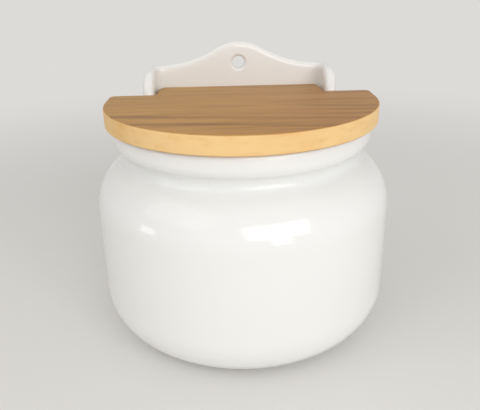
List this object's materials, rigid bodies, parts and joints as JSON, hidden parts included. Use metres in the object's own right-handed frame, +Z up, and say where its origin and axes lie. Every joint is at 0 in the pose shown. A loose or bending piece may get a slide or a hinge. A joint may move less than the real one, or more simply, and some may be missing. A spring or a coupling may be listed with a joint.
{
  "type": "salt box",
  "caption": "Round glazed ceramic salt box, flat at the back, with a crested hanging panel and a hinged half-moon wooden lid.",
  "frame": {"origin": "middle of the footprint, on the face that the box stands on", "axes": "+Z up, +Y out of the flat back towards the wall, +X along the hinge to the right as seen from the front"},
  "size_m": [0.15, 0.1176, 0.1429],
  "materials": {
    "glazed_ceramic": "glossy white glaze",
    "lid_wood": "satin oiled hardwood",
    "pin_steel": "plain bright steel"
  },
  "bodies": {
    "jar": {"jar": "glazed_ceramic"},
    "lid": {"lid_board": "lid_wood", "hinge_pin_left": "pin_steel", "hinge_pin_right": "pin_steel"}
  },
  "joints": [
    {"name": "lid_hinge", "type": "hinge", "parent": "jar", "child": "lid", "pos_m": [0, 0.04647, 0.1149], "axis": [-1, 0, 0], "range_deg": [0, 93]}
  ]
}
